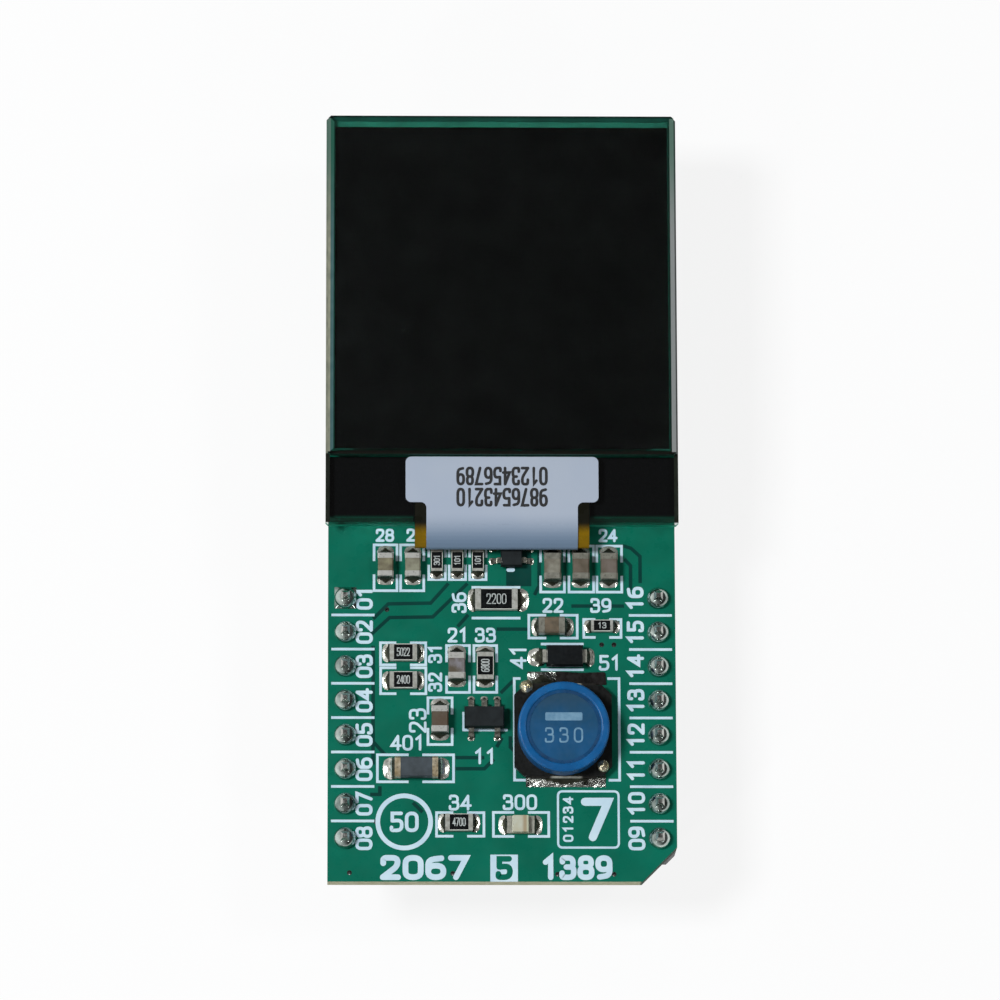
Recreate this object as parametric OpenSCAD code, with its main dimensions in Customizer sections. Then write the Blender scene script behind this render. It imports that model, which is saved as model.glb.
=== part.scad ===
// Small OLED display module: a plug-in board that carries a flat colour display,
// its boost converter and two 8-way pin headers. All lengths are in millimetres.
//
// +X runs across the board, +Y towards the display end and +Z up out of the board.
// The origin lies midway between the two rows of pins, on the plane where the
// header strips seat on a socket. Places on the board are given from its centre
// line and its lower edge, and on_board() moves them into this frame.

/* [Board] */
// Width of the board
board_w = 25.4; // [25:0.1:27]
// Length of the board
board_l = 57.15; // [57:0.05:60]
// Thickness of the board
board_t = 1.6; // [0.8:0.1:2.4]
// Leg of the cut corner that keys the board
key_cut = 2.54; // [1.5:0.01:2.8]
// Diameter of the small vias
via_d = 0.35; // [0.2:0.05:0.4]

/* [Headers] */
// Pins in each row
pins_per_row = 8; // [4:1:8]
// Distance between neighbouring pins
pin_pitch = 2.54; // [2.5:0.01:2.6]
// Distance between the two rows
row_gap = 22.86; // [22.8:0.01:23]
// Distance from the lower edge to the last pin
last_pin_y = 3.175; // [3:0.005:3.3]
// Side of the square pins
pin_w = 0.64; // [0.5:0.02:0.66]
// Length of a pin below the strip
pin_below = 6; // [3:0.1:9]
// Height of a pin above the board
pin_above = 1.4; // [1.1:0.1:2]
// Height of the moulded strip
strip_h = 2.54; // [1.5:0.01:3]
// Drill of the pin holes
hole_d = 1.0; // [0.95:0.01:1.05]

/* [Display] */
// Width of the rear glass
rear_w = 25.8; // [25.6:0.1:26]
// Lower edge of the rear glass, above the board's lower edge
rear_y = 26.0; // [26:0.05:26.2]
// Length of the rear glass
rear_l = 30.75; // [30.5:0.05:31]
// Width of the front glass
front_w = 25.5; // [25.4:0.1:25.6]
// Length of the front glass
front_l = 25.6; // [25.3:0.1:25.65]
// Thickness of either glass
glass_t = 0.6; // [0.4:0.05:0.7]
// Thickness of the foam tape under the display
foam_t = 1.5; // [1.5:0.05:1.8]
// Side of the polarizer
polar_w = 24.5; // [24:0.1:24.6]
// Width of the flexible connection
film_w = 12.74; // [12:0.02:13]
// Thickness of the flexible connection
film_t = 0.1; // [0.08:0.01:0.12]
// Width of the cover label's head
label_w = 14.1; // [13.6:0.1:15]

/* [Inductor] */
// Outer diameter of the shield ring
ring_d = 6.65; // [6:0.05:6.65]
// Height of the inductor above the board
inductor_h = 2.5; // [2.2:0.1:3.5]

/* [Hidden] */
$fn = 48;
row_y = last_pin_y + (pins_per_row - 1) * pin_pitch / 2;   // middle of the pin rows
top_z = strip_h + board_t;                                 // upper face of the board
pad_t = 0.05;                                              // solder under a terminal
rows = [-1, 1];

// vias, from the centre line and the lower edge
vias = [[-8.4, 20.1], [-9.2, 4.4], [-11.1, 0.65], [-3.6, 0.6], [0.2, 0.6], [4, 0.55],
        [8.1, 0.55], [7.3, 17.5], [8.2, 17.5]];

// chip sizes: length, width, height, length of a terminal band
chip_1206 = [3.1, 1.55, 0.55, 0.42];
chip_0805 = [2, 1.22, 0.5, 0.32];
chip_0603 = [1.6, 0.85, 0.45, 0.2];
cap_0805 = [1.9, 1.26, 0.95, 0.43];
cap_short = [1.7, 1.17, 0.9, 0.38];
bead_1206 = [3.15, 1.5, 1, 0.42];

// chips: x, y, turn about Z, size
capacitors = [
    [-8.5, 23.3, 90, cap_short], [-6.5, 23.3, 90, cap_short],
    [3.72, 23.2, 90, cap_0805], [5.8, 23.2, 90, cap_0805], [7.85, 23.2, 90, cap_0805],
    [3.63, 18.8, 0, cap_0805], [-3.3, 15.8, 90, cap_0805], [-4.53, 11.85, 90, cap_0805]];
resistors = [
    [-4.75, 23.7, 90, chip_0603], [-3.25, 23.7, 90, chip_0603], [-1.75, 23.7, 90, chip_0603],
    [-0.4, 20.8, 0, chip_1206], [7.32, 18.85, 0, chip_0603], [-7.2, 16.85, 0, chip_0805],
    [-7.2, 14.8, 0, chip_0805], [-1.22, 15.85, 90, chip_0805], [-3.15, 4.3, 0, chip_0805]];
bead = [-6.25, 8.3, 0, bead_1206];
led = [1.32, 4.15, 0, [2, 1.25, 0.8, 0.36]];
led_base_t = 0.3;
skin_t = 0.03;                        // metal skin of a chip terminal
coat_t = 0.02;                        // glass coat over a resistor

// leaded packages: x, y, turn, body size, lead width
regulator_at = [-1.3, 12, 0];
regulator_body = [2.9, 1.6, 1];
switch_at = [0.72, 24.65, 90];
switch_body = [2.9, 1.6, 0.78];
diode_at = [4.58, 16.55, 90];
diode_body = [1.6, 2.7, 1];
lead_t = 0.14;
stand_off = 0.08;                     // body above the board
sot_pitch = 0.95;
sot_lead_w = 0.4;
sot_reach = 0.6;                      // lead beyond the body
sot_foot = 0.34;                      // flat end of a lead
diode_lead_w = 0.95;
diode_reach = 0.62;

// inductor, from its own centre
inductor_at = [4.43, 11];
clip_t = 0.15;
clip_w = 4.8;
base_size = [7.1, 6.7];
base_cut = 0.7;
base_top = 0.75;
ring_wall = 0.62;
ring_round = 0.16;
core_d = ring_d - 2 * ring_wall - 0.2;
core_drop = 0.15;                     // core below the ring's rim
flange_t = 0.45;
post_d = 2.4;
lugs = [[-2.7, 2.95], [2.9, -2.6]];   // soldered wire ends

// display, heights above the board
layer_t = 0.05;
rear_z = foam_t;
ledge_z = rear_z + glass_t;
front_z = ledge_z + layer_t;
polar_z = front_z + glass_t;
polar_t = 0.12;
rear_end = rear_y + rear_l;
front_y = rear_end - front_l;
polar_y = front_y + 0.4;
polar_l = polar_w - 0.2;
seal_w = 0.32;
glass_cut = 0.18;                     // ground-off glass corners
ledge_in = film_w / 2 + 0.1;          // ledge foam starts beside the film
ledge_back = 0.6;                     // and this far behind the glass edge

// the film's bend: a wide turn over the ledge, then a tight nose
turn_r = 2;                           // inside of the wide turn
turn_a = 45;
nose_r = 0.25;                        // inside of the nose
label_t = 0.1;
turn_c = [rear_y, ledge_z - turn_r];
nose_c = turn_c + (turn_r - nose_r) * [-sin(turn_a), cos(turn_a)];
tail_z = nose_c.y - nose_r - film_t;  // underside of the level stretch
drop_y = 26.4;                        // where the tail starts down to the board
drop_a = 20;
drop_r = 0.9;
drop_run = (tail_z - pad_t - (2 * drop_r + film_t) * (1 - cos(drop_a))) / sin(drop_a);
slope_start = [drop_y + drop_r * sin(drop_a), tail_z - drop_r * (1 - cos(drop_a))];
slope_end = slope_start + drop_run * [cos(drop_a), -sin(drop_a)];
land_c = slope_end + (drop_r + film_t) * [sin(drop_a), cos(drop_a)];
film_end = 31.4;
film_top = front_y - 0.35;            // end of the film on the ledge
label_top = front_y - 0.1;
label_head_l = 3.4;
label_neck_w = 11.06;
label_round = 0.42;
finger_n = 30;
finger_w = 0.22;
finger_pitch = 0.4;

// ---------- frame and small helpers ----------

module on_board(x, y, turn = 0) translate([x, y - row_y, top_z]) rotate([0, 0, turn]) children();

module at(place) on_board(place.x, place.y, place[2]) children();

// a plan shape with its corners cut off
module cut_rect(w, l, cut) polygon([
    [-w / 2 + cut, -l / 2], [w / 2 - cut, -l / 2], [w / 2, -l / 2 + cut], [w / 2, l / 2 - cut],
    [w / 2 - cut, l / 2], [-w / 2 + cut, l / 2], [-w / 2, l / 2 - cut], [-w / 2, -l / 2 + cut]]);

// a plan shape with round corners
module round_rect(w, l, r) {
    square([w - 2 * r, l], center = true);
    square([w, l - 2 * r], center = true);
    for (sx = rows, sy = rows) translate([sx * (w / 2 - r), sy * (l / 2 - r)]) circle(r);
}

// pulls a profile drawn in Y and Z along X, centred
module along_x(width) rotate([90, 0, 90]) linear_extrude(width, center = true) children();

// points along an arc, a step of 7.5 degrees apart
function arc(c, r, a, b) = let (n = ceil(abs(b - a) / 7.5))
    [for (i = [0:n]) c + r * [cos(a + (b - a) * i / n), sin(a + (b - a) * i / n)]];

function reversed(points) = [for (i = [len(points) - 1:-1:0]) points[i]];

// ---------- board and headers ----------

module pin_places(side) for (i = [0:pins_per_row - 1])
    translate([side * row_gap / 2, (i - (pins_per_row - 1) / 2) * pin_pitch]) children();

module circuit_board() color("#15644f") translate([0, -row_y, strip_h]) linear_extrude(board_t)
    difference() {
        polygon([[-board_w / 2, 0], [board_w / 2 - key_cut, 0], [board_w / 2, key_cut],
                 [board_w / 2, board_l], [-board_w / 2, board_l]]);
        translate([0, row_y]) for (side = rows) pin_places(side) circle(d = hole_d);
        for (v = vias) translate(v) circle(d = via_d, $fn = 24);
    }

// the moulded strip is one row of joined blocks with nicked corners
module header_strip(side) color("#1a1b1c") linear_extrude(strip_h) difference() {
    pin_places(side) cut_rect(pin_pitch, pin_pitch, pin_pitch / 4);
    pin_places(side) square(pin_w, center = true);
}

module pin_side() along_x(pin_w) polygon([
    [-pin_w / 4, -pin_below], [pin_w / 4, -pin_below], [pin_w / 2, pin_w - pin_below],
    [pin_w / 2, top_z + pin_above - pin_w / 2], [pin_w / 4, top_z + pin_above],
    [-pin_w / 4, top_z + pin_above], [-pin_w / 2, top_z + pin_above - pin_w / 2],
    [-pin_w / 2, pin_w - pin_below]]);

module header_pins(side) color("#c9c2a8") pin_places(side) intersection() {
    pin_side();
    rotate([0, 0, 90]) pin_side();
}

// solder fills the hole round the pin and stands over the pad as a dome
module pin_solder(side) color("#b9bdbe") pin_places(side) difference() {
    union() {
        translate([0, 0, strip_h]) cylinder(d = hole_d, h = board_t);
        translate([0, 0, top_z]) rotate_extrude() intersection() {
            translate([0, 0.1]) circle(r = 0.8);
            square([2, 0.86]);
        }
    }
    translate([0, 0, top_z]) cube([pin_w, pin_w, 8], center = true);
}

// ---------- display ----------

module foam_pad() color("#101213") on_board(0, front_y + front_l / 2)
    linear_extrude(foam_t) cut_rect(22, 21.6, 1.2);

// two strips fill the ledge from beside the film out to the edges of the board
module ledge_foam() color("#101213") for (side = rows)
    on_board(side * (ledge_in + board_w / 2) / 2, (rear_y + ledge_back + front_y) / 2)
        linear_extrude(foam_t)
            square([board_w / 2 - ledge_in, front_y - rear_y - ledge_back], center = true);

module glass(w, l, y, z) color("#9fb4ad", 0.4) on_board(0, y + l / 2) translate([0, 0, z])
    linear_extrude(glass_t) cut_rect(w, l, glass_cut);

module rear_glass() glass(rear_w, rear_l, rear_y, rear_z);

module front_glass() glass(front_w, front_l, front_y, front_z);

// the light-making layer has its corners cut, deeper along the sides than across
module panel_layer() color("#08090b") on_board(0, 0) translate([0, 0, ledge_z]) linear_extrude(layer_t)
    polygon([[-10.9, polar_y + 0.2], [10.9, polar_y + 0.2], [12.2, polar_y + 1.1], [12.2, rear_end - 3.3],
             [11.1, rear_end - 1.25], [-11.1, rear_end - 1.25], [-12.2, rear_end - 3.3], [-12.2, polar_y + 1.1]]);

module seal() color("#77857c") on_board(0, front_y + front_l / 2) translate([0, 0, ledge_z])
    linear_extrude(layer_t) difference() {
        cut_rect(front_w, front_l, glass_cut);
        square([front_w - 2 * seal_w, front_l - 2 * seal_w], center = true);
    }

module polarizer() color("#0d0f12") on_board(0, polar_y + polar_l / 2) translate([0, 0, polar_z])
    linear_extrude(polar_t) square([polar_w, polar_l], center = true);

// one face of the film in Y and Z, at depth o from the inside of its bend: it lies on the
// ledge, turns over the ledge's edge and runs back under it down to the board
function film_face(o) = concat(
    [[film_top, ledge_z + o]],
    arc(turn_c, turn_r + o, 90, 90 + turn_a),
    arc(nose_c, nose_r + o, 90 + turn_a, 270),
    arc([drop_y, tail_z - drop_r], drop_r + film_t - o, 90, 90 - drop_a),
    arc(land_c, drop_r + o, 270 - drop_a, 270),
    [[film_end, pad_t + film_t - o]]);

module film() color("#8a6414") on_board(0, 0) along_x(film_w)
    polygon(concat(film_face(0), reversed(film_face(film_t))));

module driver_chip() color("#2b2e30") on_board(0, 0)
    translate([0, (slope_start.x + slope_end.x) / 2, (slope_start.y + slope_end.y) / 2])
        rotate([-drop_a, 0, 0]) translate([-5.5, -0.65, film_t]) cube([11, 1.3, 0.4]);

// the label has a wide head over the glass and a neck that follows the film's bend
function neck_face(o) = concat(
    [[label_top - label_head_l / 2, ledge_z + film_t + o]],
    arc(turn_c, turn_r + film_t + o, 90, 90 + turn_a),
    arc(nose_c, nose_r + film_t + o, 90 + turn_a, 195));

module label_head() {
    translate([0, label_top - label_head_l / 2]) round_rect(label_w, label_head_l, label_round);
    translate([-label_neck_w / 2, rear_y])
        square([label_neck_w, label_top - label_head_l / 2 - rear_y]);
    for (side = rows) translate([side * label_neck_w / 2, label_top - label_head_l]) difference() {
        translate([side * label_round / 2 - side * 0.05, -label_round / 2 + 0.05])
            square([label_round + 0.1, label_round + 0.1], center = true);
        translate([side * label_round, -label_round]) circle(label_round);
    }
}

module cover_label() color("#b4c2d6") on_board(0, 0) {
    translate([0, 0, ledge_z + film_t]) linear_extrude(label_t) label_head();
    along_x(label_neck_w) polygon(concat(neck_face(0), reversed(neck_face(label_t))));
}

module solder_fingers() color("#b9bdbe") for (i = [0:finger_n - 1])
    on_board((i - (finger_n - 1) / 2) * finger_pitch, film_end - 0.9)
        linear_extrude(pad_t) square([finger_w, 1.6], center = true);

// ---------- inductor ----------

module at_inductor() on_board(inductor_at.x, inductor_at.y) children();

module inductor_base() color("#191a1c") at_inductor() translate([0, 0, pad_t + clip_t])
    linear_extrude(base_top - pad_t - clip_t) cut_rect(base_size.x, base_size.y, base_cut);

// a clip runs up each end of the base and turns under it
module inductor_clips() color("#c0c3c4") at_inductor() for (end = [0, 180]) rotate(end)
    translate([0, base_size.y / 2, pad_t]) along_x(clip_w)
        polygon([[-1.1, 0], [clip_t, 0], [clip_t, base_top - 0.12], [0, base_top - 0.12],
                 [0, clip_t], [-1.1, clip_t]]);

module inductor_core() color("#2c5f8c") at_inductor() rotate_extrude() polygon([
    [0, base_top], [core_d / 2 - 0.2, base_top], [core_d / 2 - 0.2, base_top + 0.25],
    [post_d / 2, base_top + 0.25], [post_d / 2, inductor_h - core_drop - flange_t],
    [core_d / 2, inductor_h - core_drop - flange_t], [core_d / 2, inductor_h - core_drop - 0.06],
    [core_d / 2 - 0.06, inductor_h - core_drop], [0, inductor_h - core_drop]]);

module inductor_winding() color("#b5622e") at_inductor() rotate_extrude()
    translate([post_d / 2, base_top + 0.25])
        square([(core_d - post_d) / 2 - 0.3, inductor_h - core_drop - flange_t - base_top - 0.25]);

// the shield ring has a rounded rim and a square foot
module inductor_shield() color("#1f63b0") at_inductor() rotate_extrude()
    translate([(ring_d - ring_wall) / 2, 0]) {
        translate([0, (inductor_h + base_top) / 2])
            round_rect(ring_wall, inductor_h - base_top, ring_round);
        translate([-ring_wall / 2, base_top]) square([ring_wall, 2 * ring_round]);
    }

// ---------- leaded packages ----------

// moulded body whose four sides slope away from a middle band
module body_side(w, h, draft) polygon([
    [-w / 2 + draft, 0], [w / 2 - draft, 0], [w / 2, h * 0.42], [w / 2, h * 0.58],
    [w / 2 - draft, h], [-w / 2 + draft, h], [-w / 2, h * 0.58], [-w / 2, h * 0.42]]);

module moulded_body(size, draft = 0.09) translate([0, 0, stand_off]) intersection() {
    along_x(size.x) body_side(size.y, size.z, draft);
    rotate([0, 0, 90]) along_x(size.y) body_side(size.x, size.z, draft);
}

// a gull-wing lead in Y and Z: out of the body, down and out again to its foot
module gull_lead(width, reach, foot, exit_z) along_x(width) polygon([
    [-0.3, exit_z], [0.12, exit_z], [reach - foot - 0.04, pad_t], [reach, pad_t],
    [reach, pad_t + lead_t], [reach - foot + 0.06, pad_t + lead_t],
    [0.12 + lead_t, exit_z + lead_t], [-0.3, exit_z + lead_t]]);

// lead places along one edge, in pitches from the middle
module sot_leads(size, steps, end) rotate(end) for (s = steps)
    translate([s * sot_pitch, size.y / 2, 0])
        gull_lead(sot_lead_w, sot_reach, sot_foot, stand_off + size.z / 2 - lead_t / 2);

module regulator_leads() color("#c4c7c8") at(regulator_at) {
    sot_leads(regulator_body, [-1, 0, 1], 0);
    sot_leads(regulator_body, [-1, 1], 180);
}

module regulator() color("#23272a") difference() {
    at(regulator_at) moulded_body(regulator_body);
    regulator_leads();
}

module load_switch_leads() color("#c4c7c8") at(switch_at)
    for (end = [0, 180]) sot_leads(switch_body, [-1, 0, 1], end);

module load_switch() color("#1d2022") difference() {
    at(switch_at) moulded_body(switch_body);
    load_switch_leads();
}

module diode_leads() color("#c4c7c8") at(diode_at) for (end = [0, 180]) rotate(end)
    translate([0, diode_body.y / 2, 0])
        gull_lead(diode_lead_w, diode_reach, 0.4, stand_off + diode_body.z / 2 - lead_t / 2);

module diode() color("#1b2022") difference() {
    at(diode_at) moulded_body(diode_body);
    diode_leads();
}

// ---------- chips ----------

// runs a profile in X and Z, drawn for the right-hand end, at both ends of a chip
module both_ends() for (end = [0, 180]) rotate(end) children();

module chip_box(l, size, skin) translate([0, 0, pad_t + skin]) rotate([0, 0, 90]) along_x(size.y)
    translate([-l / 2, 0]) square([l, size.z - 2 * skin]);

// ceramic block, its long edges eased
module ceramic(size) translate([0, 0, pad_t + size.z / 2]) along_x(size.x - 2 * skin_t)
    cut_rect(size.y - 2 * skin_t, size.z - 2 * skin_t, 0.08);

// metal cap that wraps all four sides and the end
module end_cap(size) difference() {
    translate([size.x / 2 - size[3] / 2, 0, pad_t + size.z / 2]) along_x(size[3])
        cut_rect(size.y, size.z, 0.12);
    ceramic(size);
}

// metal band that wraps the top, the end and the foot of a flat chip
module end_band(size) difference() {
    translate([size.x / 2 - size[3] / 2, 0, pad_t + size.z / 2])
        cube([size[3], size.y, size.z], center = true);
    chip_box(size.x - 2 * skin_t, [0, size.y + 1, size.z], skin_t);
}

module capacitor(i) color("#8a7f6c") at(capacitors[i]) ceramic(capacitors[i][3]);

module capacitor_terminals() color("#c2c0b8") for (c = capacitors) at(c) both_ends() end_cap(c[3]);

module resistor(i) color("#dcdcd6") at(resistors[i])
    chip_box(resistors[i][3].x - 2 * skin_t, resistors[i][3], skin_t);

module resistor_terminals() color("#b9b8b0") for (r = resistors) at(r) both_ends() end_band(r[3]);

module resistor_coats() color("#17191a") for (r = resistors) at(r)
    translate([0, 0, pad_t + r[3].z - skin_t + coat_t / 2])
        cube([r[3].x - 2 * r[3][3], r[3].y - 0.1, coat_t], center = true);

module bead_body() color("#444c4e") at(bead) ceramic(bead[3]);

module bead_terminals() color("#b8a888") at(bead) both_ends() end_cap(bead[3]);

// the lamp is a small board with wrapped ends and a clear moulded block on top
module led_base() color("#d9d3bd") at(led)
    chip_box(led[3].x - 2 * skin_t, [led[3].x, led[3].y, led_base_t], skin_t);

module led_terminals() color("#c2a860") at(led) both_ends()
    end_band([led[3].x, led[3].y, led_base_t, led[3][3]]);

module led_lens() color("#e8e6cf", 0.8) at(led) translate([0, 0, pad_t + led_base_t - skin_t])
    rotate([0, 0, 90]) along_x(led[3].y - 0.04) polygon([
        [-0.62, 0], [0.62, 0], [0.62, 0.04], [0.55, led[3].z - led_base_t],
        [-0.55, led[3].z - led_base_t], [-0.62, 0.04]]);

// ---------- solder under and beside the terminals ----------

// hollow fillet of height h and length l in X and Z, with a flat under the terminal
module fillet(width, under, l, h) rotate([90, 0, 0])
    linear_extrude(width, center = true) {
        translate([-under, 0]) square([under, pad_t]);
        difference() {
            square([l, h]);
            translate([l + 0.02, l + pad_t + 0.01]) circle(l);
        }
    }

module chip_solder(c, l, h) at(c) both_ends() translate([c[3].x / 2, 0, 0])
    fillet(c[3].y, c[3][3], l, h);

module lead_solder(size, steps, reach, foot, width, pitch, end) rotate(end) for (s = steps)
    translate([s * pitch, size.y / 2 + reach, 0]) rotate(90) fillet(width, foot, 0.25, 0.2);

module component_solder() color("#b9bdbe") {
    for (c = capacitors) chip_solder(c, 0.5, 0.45);
    for (r = resistors) chip_solder(r, 0.38, 0.35);
    chip_solder(bead, 0.7, 0.6);
    chip_solder(led, 0.55, 0.3);
    at(regulator_at) {
        lead_solder(regulator_body, [-1, 0, 1], sot_reach, sot_foot, sot_lead_w, sot_pitch, 0);
        lead_solder(regulator_body, [-1, 1], sot_reach, sot_foot, sot_lead_w, sot_pitch, 180);
    }
    at(switch_at) for (end = [0, 180])
        lead_solder(switch_body, [-1, 0, 1], sot_reach, sot_foot, sot_lead_w, sot_pitch, end);
    at(diode_at) for (end = [0, 180])
        lead_solder(diode_body, [0], diode_reach, 0.4, diode_lead_w + 0.25, 1, end);
    at_inductor() for (end = [0, 180]) rotate(end) translate([0, base_size.y / 2 + clip_t, 0])
        rotate(90) fillet(clip_w + 0.9, 1.25, 0.6, 0.5);
    at_inductor() for (p = lugs) translate([p.x, p.y, base_top]) rotate_extrude() intersection() {
        circle(r = 0.42);
        square([1, 0.36]);
    }
}

// ---------- nodes ----------

circuit_board();
header_strip(-1);  // left_header_strip
header_strip(1);  // right_header_strip
header_pins(-1);  // left_header_pins
header_pins(1);  // right_header_pins
pin_solder(-1);  // left_pin_solder
pin_solder(1);  // right_pin_solder
foam_pad();  // display_foam_pad
ledge_foam();  // ledge_foam_strips
rear_glass();  // display_rear_glass
panel_layer();  // display_panel_layer
seal();  // display_seal
front_glass();  // display_front_glass
polarizer();  // display_polarizer
film();  // display_flex
driver_chip();  // display_driver_chip
cover_label();  // display_cover_label
solder_fingers();  // flex_solder_fingers
inductor_base();
inductor_clips();
inductor_core();
inductor_winding();
inductor_shield();
regulator();  // regulator_body
regulator_leads();
load_switch();  // load_switch_body
load_switch_leads();
diode();  // diode_body
diode_leads();
led_base();
led_terminals();
led_lens();
bead_body();
bead_terminals();
for (i = [0:len(capacitors) - 1]) capacitor(i);
capacitor_terminals();
for (i = [0:len(resistors) - 1]) resistor(i);
resistor_terminals();
resistor_coats();
component_solder();
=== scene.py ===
"""Looks for a small plug-in display board: finishes, printing, solder and a plain studio.

Places on the board are given in millimetres from its centre line and its lower edge, and heights
from its upper face. spot() turns them into the frame's metres.
"""

import math

import bmesh
import bpy
from mathutils import Matrix, Vector, noise


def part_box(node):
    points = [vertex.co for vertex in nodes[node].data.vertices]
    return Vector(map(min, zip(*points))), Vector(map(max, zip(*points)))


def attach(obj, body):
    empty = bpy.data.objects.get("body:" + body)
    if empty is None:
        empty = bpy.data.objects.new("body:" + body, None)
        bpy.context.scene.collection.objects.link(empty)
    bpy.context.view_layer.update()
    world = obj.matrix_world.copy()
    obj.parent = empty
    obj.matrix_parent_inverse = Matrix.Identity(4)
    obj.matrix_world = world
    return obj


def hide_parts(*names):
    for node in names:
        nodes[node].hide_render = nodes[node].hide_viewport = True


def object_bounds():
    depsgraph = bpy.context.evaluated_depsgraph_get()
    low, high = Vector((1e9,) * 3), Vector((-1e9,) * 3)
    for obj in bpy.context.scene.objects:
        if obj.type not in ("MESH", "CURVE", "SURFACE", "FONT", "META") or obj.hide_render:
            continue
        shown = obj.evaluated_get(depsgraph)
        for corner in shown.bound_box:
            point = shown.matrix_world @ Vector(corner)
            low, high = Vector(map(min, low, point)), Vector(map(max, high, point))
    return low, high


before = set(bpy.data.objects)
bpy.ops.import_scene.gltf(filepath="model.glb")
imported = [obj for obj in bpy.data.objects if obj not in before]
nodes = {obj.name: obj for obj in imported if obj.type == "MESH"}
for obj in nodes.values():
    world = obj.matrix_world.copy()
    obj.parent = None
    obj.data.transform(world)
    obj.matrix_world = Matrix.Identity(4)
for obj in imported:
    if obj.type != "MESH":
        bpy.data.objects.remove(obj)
cad_low, cad_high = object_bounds()
board_low, board_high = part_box("circuit_board")

MM = 0.001
BODY = "root"
CAPACITORS = [f"capacitor_{i}" for i in range(1, 9)]
RESISTORS = [f"resistor_{i}" for i in range(1, 10)]


def spot(x, y, height=0.0):
    """A place on the board, in the frame."""
    return Vector((x * MM, board_low.y + y * MM, board_high.z + height * MM))


# ---------- camera ----------

LENS = 234.0
SENSOR = 36.0
LEAN = math.radians(12.17)     # towards the board's lower edge
SWING = math.radians(-1.32)
ROLL = math.radians(-0.116)
STAND_BACK = 477.25            # millimetres from the middle of the board
AIM_Y = 28.4
SLIP = (0.101, 0.090)          # and slid this far sideways and up, across the view
CLIP_NEAR, CLIP_FAR = 0.01, 10


def add_camera():
    lean = Matrix.Rotation(LEAN, 3, "X")
    swing = Matrix.Rotation(SWING, 3, "Y")
    roll = Matrix.Rotation(-ROLL, 3, "Z")
    turn = lean @ swing @ roll
    data = bpy.data.cameras.new("camera")
    data.lens = LENS
    data.sensor_width = SENSOR
    data.clip_start = CLIP_NEAR
    data.clip_end = CLIP_FAR
    camera = bpy.data.objects.new("camera", data)
    bpy.context.scene.collection.objects.link(camera)
    away = Vector((-SLIP[0], -SLIP[1], STAND_BACK)) * MM
    camera.matrix_world = Matrix.Translation(spot(0, AIM_Y) + turn @ away) @ turn.to_4x4()
    bpy.context.scene.camera = camera


add_camera()

# ---------- colours and node groups ----------


def paint(code):
    """A linear colour from a six-figure sRGB code."""
    values = [int(code[i:i + 2], 16) / 255 for i in (0, 2, 4)]
    linear = [v / 12.92 if v <= 0.04045 else ((v + 0.055) / 1.055) ** 2.4 for v in values]
    return (*linear, 1.0)


def start_group(name, inputs, outputs):
    """A shader node group with named sockets; inputs are (name, kind, default)."""
    group = bpy.data.node_groups.new(name, "ShaderNodeTree")
    for label, kind, value in inputs:
        socket = group.interface.new_socket(label, in_out="INPUT", socket_type="NodeSocket" + kind)
        socket.default_value = value
    for label, kind in outputs:
        group.interface.new_socket(label, in_out="OUTPUT", socket_type="NodeSocket" + kind)
    return group, group.nodes.new("NodeGroupInput"), group.nodes.new("NodeGroupOutput")


def link(tree, start, end):
    tree.links.new(start, end)


def add_noise(group, source, scale, detail, vector):
    """Noise whose scale is one of the group's inputs."""
    grain = group.nodes.new("ShaderNodeTexNoise")
    grain.inputs["Detail"].default_value = detail
    link(group, source.outputs[scale], grain.inputs["Scale"])
    link(group, vector, grain.inputs["Vector"])
    return grain


def spread(tree, value, start, end, low=0.0, high=1.0):
    """A node that runs from low to high as a value runs from start to end."""
    ramp = tree.nodes.new("ShaderNodeMapRange")
    for label, number in (("From Min", start), ("From Max", end), ("To Min", low), ("To Max", high)):
        ramp.inputs[label].default_value = number
    link(tree, value, ramp.inputs["Value"])
    return ramp


def mix_shaders(tree, share, first, second):
    """Two shaders in one, by the second one's share."""
    mix = tree.nodes.new("ShaderNodeMixShader")
    link(tree, share, mix.inputs["Fac"])
    link(tree, first, mix.inputs[1])
    link(tree, second, mix.inputs[2])
    return mix.outputs["Shader"]


def make_tone_drift():
    """Two colours that drift into each other over the surface."""
    group, source, result = start_group(
        "tone_drift",
        [("Main", "Color", (1, 1, 1, 1)), ("Other", "Color", (0, 0, 0, 1)), ("Scale", "Float", 400.0)],
        [("Color", "Color")])
    place = group.nodes.new("ShaderNodeTexCoord")
    grain = add_noise(group, source, "Scale", 4.0, place.outputs["Object"])
    ramp = spread(group, grain.outputs["Fac"], 0.36, 0.68)
    mix = group.nodes.new("ShaderNodeMix")
    mix.data_type = "RGBA"
    link(group, ramp.outputs["Result"], mix.inputs["Factor"])
    link(group, source.outputs["Main"], mix.inputs["A"])
    link(group, source.outputs["Other"], mix.inputs["B"])
    link(group, mix.outputs["Result"], result.inputs["Color"])
    return group


def make_surface_relief():
    """Roughness that varies and a fine height for the bump."""
    group, source, result = start_group(
        "surface_relief",
        [("Scale", "Float", 2000.0), ("Smooth", "Float", 0.3), ("Rough", "Float", 0.5)],
        [("Roughness", "Float"), ("Height", "Float")])
    place = group.nodes.new("ShaderNodeTexCoord")
    grain = add_noise(group, source, "Scale", 5.0, place.outputs["Object"])
    ramp = spread(group, grain.outputs["Fac"], 0.3, 0.7)
    link(group, source.outputs["Smooth"], ramp.inputs["To Min"])
    link(group, source.outputs["Rough"], ramp.inputs["To Max"])
    link(group, ramp.outputs["Result"], result.inputs["Roughness"])
    link(group, grain.outputs["Fac"], result.inputs["Height"])
    return group


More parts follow.
